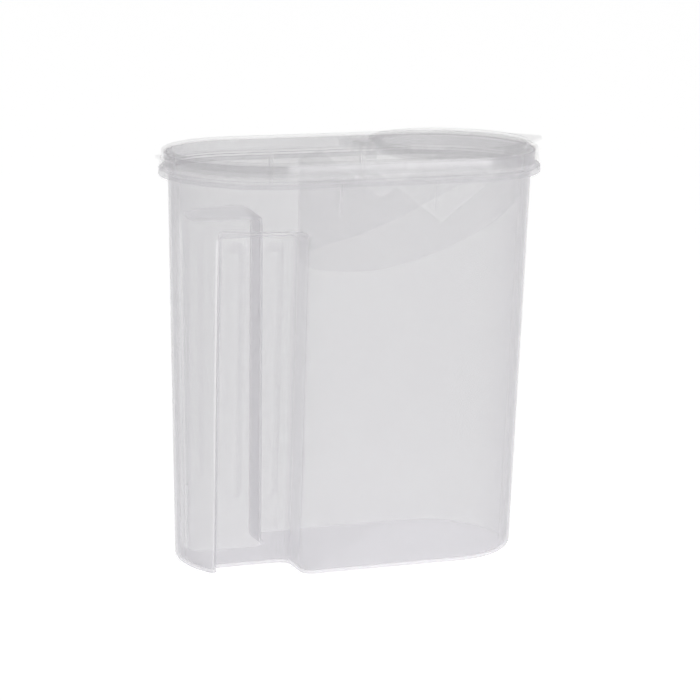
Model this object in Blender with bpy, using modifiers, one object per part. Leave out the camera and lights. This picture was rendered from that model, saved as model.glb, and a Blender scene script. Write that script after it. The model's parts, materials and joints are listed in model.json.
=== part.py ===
"""Cereal dispenser: a drafted racetrack tub with a grip at one end, a push-on lid and a round flip cap.

Frame: metres, +Z up, origin on the ground at the centre of the tub. X runs along the long side with
the pour opening at +X and the grip at -X; the two long faces look along -Y and +Y.
"""
import math

import bmesh
import bpy
from mathutils import Matrix, Vector

MM = 0.001

# Tub: two half-round ends joined by straight sides; every section keeps the same straight length.
HALF_STRAIGHT = 56.0 * MM
BASE_RADIUS = 48.6 * MM
DRAFT = 0.027
WALL = 1.5 * MM
FLOOR = 2.0 * MM
BASE_ROUND = 4.5 * MM
WALL_TOP = 229.5 * MM

# Tub rim, and the collar below it with its turned-down lip.
SHOULDER_TOP = 233.0 * MM
COLLAR_TOP = 234.5 * MM
COLLAR_BOTTOM = 230.2 * MM
COLLAR_RADIUS = 60.4 * MM
COLLAR_LIP = 1.2 * MM
RIM_RADIUS = 57.2 * MM
RIM_TOP = 243.2 * MM

# Grip hollow, the same on both long sides.
GRIP_TOP = 204.2 * MM
GRIP_ROOF = 6.5 * MM
GRIP_CORNER = 8.0 * MM
GRIP_WALL_X = -46.0 * MM
GRIP_END_X = -90.0 * MM
GRIP_LIP_ANGLE = math.radians(42)
GRIP_WAIST = 19.5 * MM
GRIP_MOUTH_ROUND = 9.0 * MM
GRIP_FLOOR_ROUND = 5.0 * MM
GRIP_LIP_ROUND = 3.0 * MM
RIDGE_X = (-56.5 * MM, -80.5 * MM)
RIDGE_HALF_WIDTH = 7.5 * MM
RIDGE_HEIGHT = 2.6 * MM
RIDGE_BOTTOM = 40.0 * MM
RIDGE_TOP = 196.0 * MM

# Stacking ribs under the collar.
RIB_X = 29.5 * MM
RIB_THICKNESS = 1.6 * MM
RIB_BOTTOM = 214.0 * MM
RIB_REACH = 4.0 * MM

# Lid: skirt, rim, sunk panel at -X and deck at +X.
LID_TOP = 245.0 * MM
LID_BOTTOM = 235.5 * MM
LID_WALL = 1.3 * MM
SKIRT_RADIUS = 59.8 * MM
SKIRT_NECK_RADIUS = 58.9 * MM
SKIRT_BAND_TOP = 239.0 * MM
PLUG_RADIUS = 55.2 * MM
PLUG_DROP = 0.6 * MM
PANEL_TOP = 238.5 * MM
DECK_TOP = 243.2 * MM
DECK_EDGE_X = 12.0 * MM
LIFT_LIP_X = -118.6 * MM
LIFT_LIP_HALF_WIDTH = 12.0 * MM
LIFT_LIP_TOP = 242.3 * MM
LIFT_LIP_THICKNESS = 1.6 * MM

# Pour opening, its neck, and the chute: a racetrack tube whose mouth is cut along a wide arc.
CAP_X = 62.5 * MM
NECK_RADIUS = 44.6 * MM
NECK_TOP = 246.1 * MM
CHUTE_HALF_STRAIGHT = 23.5 * MM
CHUTE_END = 168.0 * MM
CHUTE_DRAFT = 1.0 * MM
CHUTE_ARC_X = -39.0 * MM
CHUTE_ARC_LOW = 175.0 * MM
CHUTE_ARC_RADIUS = 229.0 * MM
CHUTE_NOTCH_LOW = 205.0 * MM
CHUTE_NOTCH_TOP = 236.5 * MM
CHUTE_NOTCH_SPREAD = 1.32

# Flip cap.
CAP_RADIUS = 48.2 * MM
CAP_TOP = 247.8 * MM
CAP_WALL = 1.3 * MM
GAP = 0.3 * MM
CAP_PLUG_RADIUS = 44.0 * MM
CAP_PLUG_TAPER = 0.2 * MM
CAP_DISH_TOP = 241.0 * MM
CAP_DISH_ROUND = 1.2 * MM
CAP_RING_INNER = 42.7 * MM
TAB_TIP_X = 122.7 * MM
TAB_TIP_RADIUS = 9.0 * MM
TAB_ROOT_ANGLE = math.radians(30)
TAB_TOP = 247.3 * MM
TAB_THICKNESS = 1.5 * MM

# Cap hinge, along Y.
HINGE_X = 8.0 * MM
HINGE_Z = 243.5 * MM
BARREL_RADIUS = 2.3 * MM
BARREL_HALF_WIDTH = 9.2 * MM
PIN_RADIUS = 1.4 * MM
PIN_END = 12.6 * MM
EAR_INNER_Y = 9.7 * MM
EAR_OUTER_Y = 12.9 * MM
EAR_RADIUS = 3.3 * MM
EAR_HOLE_RADIUS = 1.75 * MM

# Points along a half-round end, and around a full turn.
END_STEPS = 28
TURN_STEPS = 72
SMOOTH_ANGLE = math.radians(32)

# Points within CLOSE are one point, APART keeps two surfaces from lying together, FAR is past every part.
CLOSE = 0.01 * MM
APART = 0.3 * MM
FAR = 200.0 * MM


# ---------------------------------------------------------------- scene helpers

def clear_scene():
    for obj in list(bpy.data.objects):
        bpy.data.objects.remove(obj, do_unlink=True)


def make_collection(name):
    collection = bpy.data.collections.new(name)
    bpy.context.scene.collection.children.link(collection)
    return collection


def plastic(name, color, roughness):
    material = bpy.data.materials.new(name)
    material.use_nodes = True
    shader = material.node_tree.nodes['Principled BSDF']
    shader.inputs['Base Color'].default_value = (*color, 1.0)
    shader.inputs['Roughness'].default_value = roughness
    shader.inputs['Metallic'].default_value = 0.0
    return material


def shade(obj, material):
    obj.data.materials.append(material)
    obj.data.shade_smooth()
    obj.data.set_sharp_from_angle(angle=SMOOTH_ANGLE)


def add_object(name, bm, collection):
    """Turn a closed bmesh into an object with outward faces."""
    bmesh.ops.recalc_face_normals(bm, faces=bm.faces)
    mesh = bpy.data.meshes.new(name)
    bm.to_mesh(mesh)
    bm.free()
    obj = bpy.data.objects.new(name, mesh)
    collection.objects.link(obj)
    return obj


def boolean(target, operand, operation):
    """Join or cut target with operand, which is kept as a guide only."""
    operand.hide_render = True
    operand.display_type = 'WIRE'
    modifier = target.modifiers.new(operand.name, 'BOOLEAN')
    modifier.operation = operation
    modifier.object = operand
    modifier.solver = 'EXACT'


# ---------------------------------------------------------------- outlines

def arc(center, radius, start, end, steps):
    """Points along an arc, both ends included."""
    angles = [start + (end - start) * i / steps for i in range(steps + 1)]
    return [(center[0] + radius * math.cos(a), center[1] + radius * math.sin(a)) for a in angles]


def round_corner(before, corner, after, radius, steps):
    """The arc that rounds one corner of an outline, in the direction of travel."""
    corner = Vector(corner)
    back = (Vector(before) - corner).normalized()
    ahead = (Vector(after) - corner).normalized()
    half = back.angle(ahead) / 2
    center = corner + (back + ahead).normalized() * radius / math.sin(half)
    first = corner + back * radius / math.tan(half) - center
    side = math.copysign(1, ahead.x * back.y - ahead.y * back.x)
    turn = (math.pi - 2 * half) * side
    return [tuple(center + Matrix.Rotation(turn * i / steps, 2) @ first) for i in range(steps + 1)]


def racetrack(radius, half_straight=HALF_STRAIGHT, center_x=0.0):
    """Two half circles joined by straight sides, anticlockwise."""
    quarter = math.pi / 2
    right = arc((center_x + half_straight, 0), radius, -quarter, quarter, END_STEPS)
    left = arc((center_x - half_straight, 0), radius, quarter, 3 * quarter, END_STEPS)
    return right + left


# ---------------------------------------------------------------- solids

def loft(sections, ring=False):
    """Skin closed sections in order. A ring joins the last to the first; else both ends are capped."""
    bm = bmesh.new()
    loops = [[bm.verts.new(point) for point in section] for section in sections]
    following = loops[1:] + loops[:1] if ring else loops[1:]
    for low, high in zip(loops, following):
        for i in range(len(low)):
            j = (i + 1) % len(low)
            bm.faces.new((low[i], low[j], high[j], high[i]))
    if not ring:
        bm.faces.new(list(reversed(loops[0])))
        bm.faces.new(loops[-1])
    return bm


def turned(name, profile, center_x, closed, collection):
    """A profile turned about the vertical line through center_x."""
    mesh = bpy.data.meshes.new(name)
    edges = [(i, i + 1) for i in range(len(profile) - 1)]
    if closed:
        edges.append((len(profile) - 1, 0))
    mesh.from_pydata([(radius, 0.0, z) for radius, z in profile], edges, [])
    obj = bpy.data.objects.new(name, mesh)
    obj.location = (center_x, 0, 0)
    collection.objects.link(obj)
    screw = obj.modifiers.new('turn', 'SCREW')
    screw.axis = 'Z'
    screw.angle = 2 * math.pi
    screw.steps = TURN_STEPS
    screw.render_steps = TURN_STEPS
    screw.use_merge_vertices = True
    screw.merge_threshold = CLOSE
    screw.use_smooth_shade = True
    return obj


def flat_solid(name, outline, thickness, location, rotation, collection):
    """A plate with the given outline, its middle plane through location."""
    curve = bpy.data.curves.new(name, 'CURVE')
    curve.dimensions = '2D'
    curve.fill_mode = 'BOTH'
    curve.extrude = thickness / 2
    spline = curve.splines.new('POLY')
    spline.points.add(len(outline) - 1)
    for point, (x, y) in zip(spline.points, outline):
        point.co = (x, y, 0, 1)
    spline.use_cyclic_u = True
    drawn = bpy.data.objects.new(name, curve)
    drawn.location = location
    drawn.rotation_euler = rotation
    collection.objects.link(drawn)
    graph = bpy.context.evaluated_depsgraph_get()
    mesh = bpy.data.meshes.new_from_object(drawn.evaluated_get(graph))
    bm = bmesh.new()
    bm.from_mesh(mesh)
    bmesh.ops.remove_doubles(bm, verts=bm.verts, dist=CLOSE)
    plate = add_object(name, bm, collection)
    plate.matrix_world = drawn.matrix_world.copy()
    bpy.data.meshes.remove(mesh)
    bpy.data.objects.remove(drawn, do_unlink=True)
    return plate


def level_plate(name, outline, low, high, collection):
    """A plate that lies level between two heights."""
    return flat_solid(name, outline, high - low, (0, 0, (low + high) / 2), (0, 0, 0), collection)


def side_plate(name, outline, y_from, y_to, collection):
    """A plate whose outline is drawn in XZ, standing across Y."""
    middle = (0, (y_from + y_to) / 2, 0)
    return flat_solid(name, outline, abs(y_to - y_from), middle, (math.pi / 2, 0, 0), collection)


def rod_along_y(name, radius, half_length, steps, collection):
    """A round rod on the hinge line."""
    bm = bmesh.new()
    place = Matrix.Translation((HINGE_X, 0, HINGE_Z)) @ Matrix.Rotation(math.pi / 2, 4, 'X')
    bmesh.ops.create_cone(bm, cap_ends=True, segments=steps, radius1=radius, radius2=radius,
                          depth=2 * half_length, matrix=place)
    return add_object(name, bm, collection)


def block(name, low, high, collection):
    """A box between two corners."""
    size = Vector(high) - Vector(low)
    middle = (Vector(high) + Vector(low)) / 2
    bm = bmesh.new()
    bmesh.ops.create_cube(bm, size=1.0, matrix=Matrix.Translation(middle) @ Matrix.Diagonal((*size, 1.0)))
    return add_object(name, bm, collection)


# ---------------------------------------------------------------- tub

def wall_radius(z):
    return BASE_RADIUS + DRAFT * z


def half_width(x, radius):
    """Half width of the racetrack at x."""
    past = max(abs(x) - HALF_STRAIGHT, 0.0)
    return math.sqrt(max(radius * radius - past * past, 0.0))


def ridge_height(x, z):
    """Height of the two round-ended finger ridges above the floor of the grip."""
    height = 0.0
    for center in RIDGE_X:
        past_end = max(RIDGE_BOTTOM + RIDGE_HALF_WIDTH - z, z - RIDGE_TOP + RIDGE_HALF_WIDTH, 0.0)
        distance = math.hypot(x - center, past_end) / RIDGE_HALF_WIDTH
        if distance < 1.0:
            height += RIDGE_HEIGHT * 0.5 * (1 + math.cos(math.pi * distance))
    return height


def grip_outline(radius, inset, z, corner_shift):
    """Plan of one grip on the -Y side, from the flat face round to the middle of the end."""
    waist = GRIP_WAIST + DRAFT * z - inset
    wall_x = GRIP_WALL_X + inset - corner_shift
    end_x = GRIP_END_X - inset
    flat = (wall_x + 2 * GRIP_MOUTH_ROUND, -radius)
    mouth = (wall_x, -radius)
    floor_start = (wall_x, -waist)
    floor_end = (end_x, -waist)
    lip = (-HALF_STRAIGHT - radius * math.cos(GRIP_LIP_ANGLE), -radius * math.sin(GRIP_LIP_ANGLE))
    past_lip = arc((-HALF_STRAIGHT, 0), radius, math.pi + GRIP_LIP_ANGLE * 0.75, math.pi, 7)
    into_floor = round_corner(mouth, floor_start, floor_end, GRIP_FLOOR_ROUND + inset, 4)
    out_of_floor = round_corner(floor_start, floor_end, lip, GRIP_LIP_ROUND + inset, 3)
    points = [flat] + round_corner(flat, mouth, floor_start, GRIP_MOUTH_ROUND - inset, 6) + into_floor
    first, last = into_floor[-1][0], out_of_floor[0][0]
    stations = 16
    for i in range(1, stations):
        x = first + (last - first) * i / stations
        points.append((x, -waist - ridge_height(x, z)))
    points += out_of_floor
    lip_round = max(GRIP_LIP_ROUND - inset, GRIP_LIP_ROUND / 2)
    points += round_corner(floor_end, lip, past_lip[0], lip_round, 3)
    return points + past_lip


def tub_section(z, inset, radius=None):
    """One level of the tub's surface, inset from the drafted wall or from the given radius."""
    radius = (wall_radius(z) if radius is None else radius) - inset
    below_top = max(GRIP_TOP + inset - z, 0.0)
    depth = 0.5 - 0.5 * math.cos(math.pi * min(below_top / GRIP_ROOF, 1.0))
    corner = GRIP_CORNER + inset
    gap = max(corner - below_top, 0.0)
    corner_shift = corner - math.sqrt(corner ** 2 - gap ** 2)
    half = arc((HALF_STRAIGHT, 0), radius, 0, -math.pi / 2, END_STEPS // 2)
    for x, y in grip_outline(radius, inset, z, corner_shift):
        full = -half_width(x, radius)
        half.append((x, full + (y - full) * depth))
    other = [(x, -y) for x, y in reversed(half[1:-1])]
    return [(x, y, z) for x, y in half + other]


def base_levels(radius, floor_z, inset, steps):
    """(height, inset) of a rounded bottom edge, from the flat bottom up to the wall."""
    angles = [math.pi / 2 * (1 - i / steps) for i in range(steps + 1)]
    return [(floor_z + radius * (1 - math.sin(a)), inset + radius * (1 - math.cos(a))) for a in angles]


def wall_levels(inset):
    """(height, inset) where the drafted wall changes: the ridge ends and the roof of the grip."""
    ridge = (0.0, 0.25, 0.6, 1.0)
    heights = [RIDGE_BOTTOM + RIDGE_HALF_WIDTH * part for part in ridge]
    heights += [RIDGE_TOP - RIDGE_HALF_WIDTH * part for part in reversed(ridge)]
    roof = GRIP_TOP + inset
    heights += [roof - GRIP_ROOF * part for part in (1.0, 0.8, 0.62, 0.45, 0.3, 0.15, 0.0)]
    return [(z, inset) for z in sorted(heights)]


def rim_profile():
    """(radius, height) of the collar and rim, from the top of the outer wall over to the inner wall."""
    edge = 0.7 * MM
    lip = COLLAR_RADIUS - COLLAR_LIP
    return [
        (RIM_RADIUS, SHOULDER_TOP),
        (lip, SHOULDER_TOP),
        (lip, COLLAR_BOTTOM),
        (COLLAR_RADIUS, COLLAR_BOTTOM),
        *arc((COLLAR_RADIUS - edge, COLLAR_TOP - edge), edge, 0, math.pi / 2, 2),
        (RIM_RADIUS, COLLAR_TOP),
        *arc((RIM_RADIUS - WALL / 2, RIM_TOP - WALL / 2), WALL / 2, 0, math.pi, 4),
        (RIM_RADIUS - WALL, SHOULDER_TOP + MM),
    ]


def tub_sections():
    outer = base_levels(BASE_ROUND, 0.0, 0.0, 4) + wall_levels(0.0) + [(WALL_TOP, 0.0)]
    inner = base_levels(BASE_ROUND - WALL, FLOOR, WALL, 3) + wall_levels(WALL) + [(WALL_TOP, WALL)]
    sections = [tub_section(z, inset) for z, inset in outer]
    sections += [tub_section(z, 0.0, radius) for radius, z in rim_profile()]
    sections += [tub_section(z, inset) for z, inset in reversed(inner)]
    return sections


def stacking_rib(x, side, tools):
    """A tapered fin between the wall and the collar, drawn in YZ."""
    face = wall_radius(RIB_BOTTOM)
    top = SHOULDER_TOP + 0.5 * MM
    outline = [
        (side * (face - WALL / 2), RIB_BOTTOM),
        (side * (face + 1.0 * MM), RIB_BOTTOM),
        (side * (face + RIB_REACH), top),
        (side * (face - WALL / 2), top),
    ]
    turn = (math.pi / 2, 0, math.pi / 2)
    return flat_solid('stacking rib', outline, RIB_THICKNESS, (x, 0, 0), turn, tools)


def make_tub(parts, tools):
    bm = loft(tub_sections())
    bmesh.ops.dissolve_degenerate(bm, dist=CLOSE / 2, edges=bm.edges)
    bmesh.ops.dissolve_limit(bm, angle_limit=math.radians(0.05), verts=bm.verts, edges=bm.edges)
    tub = add_object('container_body', bm, parts)
    for x in (-RIB_X, RIB_X):
        for side in (-1, 1):
            boolean(tub, stacking_rib(x, side, tools), 'UNION')
    return tub


# ---------------------------------------------------------------- lid

def lid_rim_profile():
    """Section through the lid rim: the skirt, the top, and the plug wall that enters the tub."""
    edge = 0.9 * MM
    inner = PLUG_RADIUS - LID_WALL
    bottom = PANEL_TOP - LID_WALL - PLUG_DROP
    return [
        (inner, bottom),
        (PLUG_RADIUS, bottom),
        (PLUG_RADIUS, LID_TOP - LID_WALL),
        (SKIRT_NECK_RADIUS - LID_WALL, LID_TOP - LID_WALL),
        (SKIRT_RADIUS - LID_WALL, LID_BOTTOM),
        (SKIRT_RADIUS, LID_BOTTOM),
        (SKIRT_RADIUS, LID_BOTTOM + 2.0 * MM),
        (SKIRT_RADIUS - 0.5 * MM, SKIRT_BAND_TOP),
        *arc((SKIRT_NECK_RADIUS - edge, LID_TOP - edge), edge, 0, math.pi / 2, 4),
        *arc((inner + edge, LID_TOP - edge), edge, math.pi / 2, math.pi, 3),
    ]


def stepped_floor(tools):
    """The floor of the lid in one piece: the sunk panel, the step up and the raised deck."""
    outline = [
        (-FAR, PANEL_TOP - LID_WALL),
        (DECK_EDGE_X + LID_WALL, PANEL_TOP - LID_WALL),
        (DECK_EDGE_X + LID_WALL, DECK_TOP - LID_WALL),
        (FAR, DECK_TOP - LID_WALL),
        (FAR, DECK_TOP),
        (DECK_EDGE_X, DECK_TOP),
        (DECK_EDGE_X, PANEL_TOP),
        (-FAR, PANEL_TOP),
    ]
    floor = side_plate('stepped floor', outline, -FAR, FAR, tools)
    inside = racetrack(PLUG_RADIUS - LID_WALL / 2)
    within_rim = level_plate('within the rim', inside, LID_BOTTOM, LID_TOP, tools)
    boolean(floor, within_rim, 'INTERSECT')
    return floor


def cut_disc(lid, name, radius, low, high, tools):
    """Cut a round hole on the cap's centre line."""
    profile = [(0, high), (radius, high), (radius, low), (0, low)]
    boolean(lid, turned(name, profile, CAP_X, False, tools), 'DIFFERENCE')


def neck(tools):
    """The raised ring round the pour opening that the cap fits over."""
    edge = 0.4 * MM
    outer = NECK_RADIUS + LID_WALL
    foot = DECK_TOP - LID_WALL * 0.75
    profile = [
        (NECK_RADIUS + edge, NECK_TOP),
        (outer - edge, NECK_TOP),
        (outer, NECK_TOP - edge),
        (outer, foot),
        (NECK_RADIUS, foot),
        (NECK_RADIUS, NECK_TOP - edge),
    ]
    return turned('neck', profile, CAP_X, True, tools)


def chute_ring(radius, z):
    """One level of the chute; its round end at +X is centred under the cap."""
    outline = racetrack(radius, CHUTE_HALF_STRAIGHT, CAP_X - CHUTE_HALF_STRAIGHT)
    return [(x, y, z) for x, y in outline]


def chute(tools):
    """A tube under the opening, deep on the hinge side, with an arched mouth and a notch in each side."""
    top = DECK_TOP - LID_WALL / 2
    high = NECK_RADIUS + APART
    low = high - CHUTE_DRAFT
    levels = [(high + LID_WALL, top), (low + LID_WALL, CHUTE_END), (low, CHUTE_END), (high, top)]
    tube = add_object('chute', loft([chute_ring(r, z) for r, z in levels], ring=True), tools)

    disc = bmesh.new()
    center = Matrix.Translation((CHUTE_ARC_X, 0, CHUTE_ARC_LOW + CHUTE_ARC_RADIUS))
    bmesh.ops.create_cone(disc, cap_ends=True, segments=160, radius1=CHUTE_ARC_RADIUS,
                          radius2=CHUTE_ARC_RADIUS, depth=FAR,
                          matrix=center @ Matrix.Rotation(math.pi / 2, 4, 'X'))
    boolean(tube, add_object('chute mouth', disc, tools), 'INTERSECT')

    middle = CAP_X - CHUTE_HALF_STRAIGHT
    reach = (CHUTE_NOTCH_TOP - CHUTE_NOTCH_LOW) * CHUTE_NOTCH_SPREAD
    notch = [(middle, CHUTE_NOTCH_LOW), (middle + reach, CHUTE_NOTCH_TOP), (middle - reach, CHUTE_NOTCH_TOP)]
    boolean(tube, side_plate('chute notch', notch, -FAR, FAR, tools), 'DIFFERENCE')

    above_panel = block('above panel', (-FAR, -FAR, PANEL_TOP - LID_WALL / 2),
                        (DECK_EDGE_X + LID_WALL / 2, FAR, LID_TOP), tools)
    boolean(tube, above_panel, 'DIFFERENCE')
    return tube


def hinge_ear(side, tools):
    """One round-topped ear that stands on the sunk panel and takes a hinge pin."""
    foot = PANEL_TOP - LID_WALL / 2
    shelf = DECK_TOP - 0.4 * MM
    root = DECK_EDGE_X + LID_WALL / 2
    outline = [(root, foot), (root, shelf), (HINGE_X + EAR_RADIUS, shelf)]
    outline += arc((HINGE_X, HINGE_Z), EAR_RADIUS, 0, math.pi, 8)
    outline += [(HINGE_X - EAR_RADIUS, foot)]
    return side_plate('hinge ear', outline, side * EAR_INNER_Y, side * EAR_OUTER_Y, tools)


def lift_lip(tools):
    """The small ledge at the grip end that lifts the lid off."""
    corner = 3.0 * MM
    root = -HALF_STRAIGHT - SKIRT_NECK_RADIUS + LID_WALL
    near = LIFT_LIP_X + corner
    side = LIFT_LIP_HALF_WIDTH - corner
    outline = [(root, -LIFT_LIP_HALF_WIDTH), (root, LIFT_LIP_HALF_WIDTH)]
    outline += arc((near, side), corner, math.pi / 2, math.pi, 4)
    outline += arc((near, -side), corner, math.pi, math.pi * 1.5, 4)
    return level_plate('lift lip', outline, LIFT_LIP_TOP - LIFT_LIP_THICKNESS, LIFT_LIP_TOP, tools)


def make_lid(parts, tools):
    sections = [[(x, y, z) for x, y in racetrack(radius)] for radius, z in lid_rim_profile()]
    lid = add_object('lid', loft(sections, ring=True), parts)
    cut_disc(lid, 'cap seat', CAP_RADIUS + GAP, DECK_TOP - GAP / 3, LID_TOP + MM, tools)
    boolean(lid, stepped_floor(tools), 'UNION')
    cut_disc(lid, 'pour opening', NECK_RADIUS + LID_WALL / 2, CHUTE_END, LID_TOP + MM, tools)
    boolean(lid, chute(tools), 'UNION')
    boolean(lid, neck(tools), 'UNION')
    for side in (-1, 1):
        boolean(lid, hinge_ear(side, tools), 'UNION')
    boolean(lid, rod_along_y('pin hole', EAR_HOLE_RADIUS, EAR_OUTER_Y + MM, 20, tools), 'DIFFERENCE')
    boolean(lid, lift_lip(tools), 'UNION')
    return lid


# ---------------------------------------------------------------- flip cap

def cap_profile():
    """Section from the axis outwards: the dish, the rounded ring, and back along the underside."""
    ring_bottom = DECK_TOP + GAP
    dish_bottom = CAP_DISH_TOP - CAP_WALL
    edge = 1.1 * MM
    dish_edge = CAP_RING_INNER - CAP_PLUG_TAPER - CAP_DISH_ROUND
    plug_edge = CAP_PLUG_RADIUS - CAP_PLUG_TAPER - CAP_DISH_ROUND
    quarter = math.pi / 2
    return [
        (0.0, CAP_DISH_TOP),
        *arc((dish_edge, CAP_DISH_TOP + CAP_DISH_ROUND), CAP_DISH_ROUND, -quarter, 0, 3),
        *arc((CAP_RING_INNER + edge, CAP_TOP - edge), edge, math.pi, quarter, 4),
        *arc((CAP_RADIUS - edge, CAP_TOP - edge), edge, quarter, 0, 4),
        (CAP_RADIUS, ring_bottom),
        (CAP_RADIUS - CAP_WALL, ring_bottom),
        (CAP_RADIUS - CAP_WALL, CAP_TOP - CAP_WALL),
        (CAP_PLUG_RADIUS, CAP_TOP - CAP_WALL),
        *arc((plug_edge, dish_bottom + CAP_DISH_ROUND), CAP_DISH_ROUND, 0, -quarter, 3),
        (0.0, dish_bottom),
    ]


def thumb_tab(tools):
    """A flat tab that runs off the ring and narrows to a round tip."""
    spread = math.radians(60)
    outline = arc((TAB_TIP_X - TAB_TIP_RADIUS, 0), TAB_TIP_RADIUS, -spread, spread, 10)
    outline += arc((CAP_X, 0), CAP_RADIUS - CAP_WALL / 2, TAB_ROOT_ANGLE, -TAB_ROOT_ANGLE, 10)
    return level_plate('thumb tab', outline, TAB_TOP - TAB_THICKNESS, TAB_TOP, tools)


def make_cap(parts, tools):
    hinge = bpy.data.objects.new('cap hinge line', None)
    hinge.location = (HINGE_X, 0, HINGE_Z)
    parts.objects.link(hinge)
    cap = turned('flip_cap', cap_profile(), CAP_X - HINGE_X, False, parts)
    cap.location.z = -HINGE_Z
    cap.parent = hinge
    boolean(cap, thumb_tab(tools), 'UNION')
    strap_low = (HINGE_X, -BARREL_HALF_WIDTH, DECK_TOP + GAP)
    strap_high = (CAP_X - CAP_RADIUS + CAP_WALL, BARREL_HALF_WIDTH, HINGE_Z + BARREL_RADIUS)
    boolean(cap, block('hinge strap', strap_low, strap_high, tools), 'UNION')
    boolean(cap, rod_along_y('hinge barrel', BARREL_RADIUS, BARREL_HALF_WIDTH, 24, tools), 'UNION')
    boolean(cap, rod_along_y('hinge pins', PIN_RADIUS, PIN_END, 20, tools), 'UNION')
    return cap


def main():
    clear_scene()
    parts = make_collection('cereal dispenser')
    tools = make_collection('cutters')
    shade(make_tub(parts, tools), plastic('tub plastic', (0.86, 0.87, 0.88), 0.30))
    shade(make_lid(parts, tools), plastic('lid plastic', (0.85, 0.86, 0.87), 0.26))
    shade(make_cap(parts, tools), plastic('cap plastic', (0.85, 0.86, 0.87), 0.24))


main()
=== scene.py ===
import json
import math

import bmesh
import bpy
from mathutils import Matrix, Vector


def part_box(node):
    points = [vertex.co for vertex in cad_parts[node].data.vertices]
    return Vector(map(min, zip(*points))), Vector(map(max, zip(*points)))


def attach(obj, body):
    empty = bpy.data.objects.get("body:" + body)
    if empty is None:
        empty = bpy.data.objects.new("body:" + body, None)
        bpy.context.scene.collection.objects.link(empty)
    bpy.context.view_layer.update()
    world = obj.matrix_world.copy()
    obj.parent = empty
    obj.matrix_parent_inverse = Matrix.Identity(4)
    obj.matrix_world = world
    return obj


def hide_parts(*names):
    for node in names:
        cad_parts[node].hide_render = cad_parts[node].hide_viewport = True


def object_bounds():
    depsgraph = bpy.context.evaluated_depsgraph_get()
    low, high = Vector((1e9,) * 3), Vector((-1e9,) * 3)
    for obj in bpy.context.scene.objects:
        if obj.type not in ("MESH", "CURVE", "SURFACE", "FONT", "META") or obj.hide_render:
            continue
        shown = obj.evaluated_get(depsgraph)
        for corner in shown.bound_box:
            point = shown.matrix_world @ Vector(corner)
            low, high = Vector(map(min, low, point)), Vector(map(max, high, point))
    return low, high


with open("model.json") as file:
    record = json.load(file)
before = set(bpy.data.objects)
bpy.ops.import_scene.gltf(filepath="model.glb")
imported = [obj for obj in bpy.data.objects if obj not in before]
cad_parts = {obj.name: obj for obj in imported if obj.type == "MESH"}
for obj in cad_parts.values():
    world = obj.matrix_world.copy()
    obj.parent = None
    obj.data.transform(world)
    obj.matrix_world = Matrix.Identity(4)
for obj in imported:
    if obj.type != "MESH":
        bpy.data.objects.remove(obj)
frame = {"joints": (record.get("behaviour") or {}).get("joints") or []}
CAD_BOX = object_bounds()

# Cereal dispenser: a finer moulding takes the place of each CAD node. Each one is a single closed body
# of the same outline, in milky polypropylene, with places that come from the frame.

MM = 0.001
TUB_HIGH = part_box('container_body')[1]
LID_LOW, LID_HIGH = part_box('lid')
CAP_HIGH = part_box('flip_cap')[1]
HINGE_X, _, HINGE_Z = next(j for j in frame['joints'] if j['name'] == 'cap_hinge')['pos_m']

# Tub: two half-round ends joined by straight sides; every section keeps the same straight length.
COLLAR_RADIUS = TUB_HIGH[1]
HALF_STRAIGHT = TUB_HIGH[0] - COLLAR_RADIUS
RIM_TOP = TUB_HIGH[2]
RIM_RADIUS = COLLAR_RADIUS - 3.2 * MM
COLLAR_TOP = RIM_TOP - 8.7 * MM
COLLAR_BOTTOM = RIM_TOP - 13.0 * MM
COLLAR_LIP = 1.2 * MM
SHOULDER_TOP = RIM_TOP - 10.2 * MM
WALL_TOP = RIM_TOP - 13.7 * MM
DRAFT = 0.027
BASE_RADIUS = COLLAR_RADIUS - 11.8 * MM
WALL = 1.5 * MM
FLOOR = 2.0 * MM
BASE_ROUND = 4.5 * MM

# Grip hollow, the same on both long sides.
GRIP_TOP = RIM_TOP - 39.0 * MM
GRIP_ROOF = 6.5 * MM
GRIP_CORNER = 8.0 * MM
GRIP_WALL_X = 10.0 * MM - HALF_STRAIGHT
GRIP_END_X = -34.0 * MM - HALF_STRAIGHT
GRIP_LIP_ANGLE = math.radians(42)
GRIP_WAIST = 19.5 * MM
GRIP_MOUTH_ROUND = 9.0 * MM
GRIP_FLOOR_ROUND = 5.0 * MM
GRIP_LIP_ROUND = 3.0 * MM
RIDGE_X = (-0.5 * MM - HALF_STRAIGHT, -24.5 * MM - HALF_STRAIGHT)
RIDGE_HALF_WIDTH = 7.5 * MM
RIDGE_HEIGHT = 2.6 * MM
RIDGE_BOTTOM = 40.0 * MM
RIDGE_TOP = GRIP_TOP - 8.2 * MM

# Stacking ribs under the collar.
RIB_X = 29.5 * MM
RIB_THICKNESS = 1.6 * MM
RIB_BOTTOM = RIM_TOP - 29.2 * MM
RIB_REACH = 4.0 * MM

# Lid: skirt, rim, sunk panel at -X and deck at +X.
SKIRT_RADIUS = LID_HIGH[1]
SKIRT_NECK_RADIUS = SKIRT_RADIUS - 0.9 * MM
PLUG_RADIUS = SKIRT_RADIUS - 4.6 * MM
LID_WALL = 1.3 * MM
LID_TOP = HINGE_Z + 1.5 * MM
LID_BOTTOM = LID_TOP - 9.5 * MM
SKIRT_BAND_TOP = LID_TOP - 6.0 * MM
PANEL_TOP = HINGE_Z - 5.0 * MM
DECK_TOP = HINGE_Z - 0.3 * MM
PLUG_DROP = 0.6 * MM
DECK_EDGE_X = HINGE_X + 4.0 * MM
LIFT_LIP_X = LID_LOW[0]
LIFT_LIP_HALF_WIDTH = 12.0 * MM
LIFT_LIP_TOP = LID_TOP - 2.7 * MM
LIFT_LIP_THICKNESS = 1.6 * MM

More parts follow.
